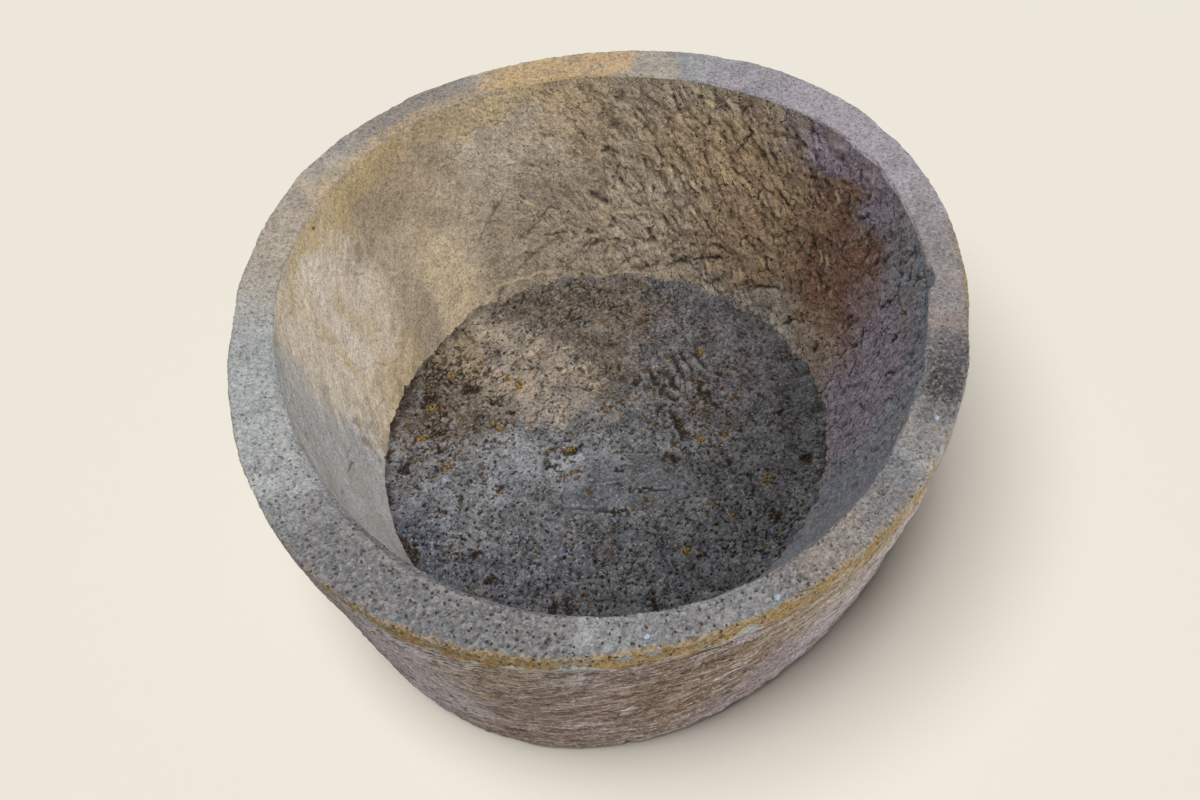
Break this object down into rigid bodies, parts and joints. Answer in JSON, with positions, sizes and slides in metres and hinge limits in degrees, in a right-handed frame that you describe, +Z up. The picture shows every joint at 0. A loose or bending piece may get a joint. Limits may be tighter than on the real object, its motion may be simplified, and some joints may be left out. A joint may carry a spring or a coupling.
{
  "type": "stone planter",
  "caption": "Round hewn stone planter with a slightly tapered wall, an uneven oval rim, a tooled hollow and a bed of coarse mortar over a stopped drain.",
  "frame": {"origin": "middle of the planter's box, on the ground plane that its flat base rests on", "axes": "+Z up, square to the flat base; +X to the right and +Y away from the viewer in the picture"},
  "size_m": [0.6782, 0.7216, 0.2983],
  "materials": {
    "sandstone": "hewn, unpolished, stained",
    "coarse_mortar": "rough, gritty",
    "smooth_mortar": "trowelled, weathered",
    "blue_grey_pebble": "water worn",
    "ochre_gravel": "matt"
  },
  "bodies": {
    "root": {"stone_bowl": "sandstone", "floor_bed": "coarse_mortar", "drain_stopper": "smooth_mortar", "rim_pebbles": "blue_grey_pebble", "ochre_gravel": "ochre_gravel"}
  },
  "joints": []
}
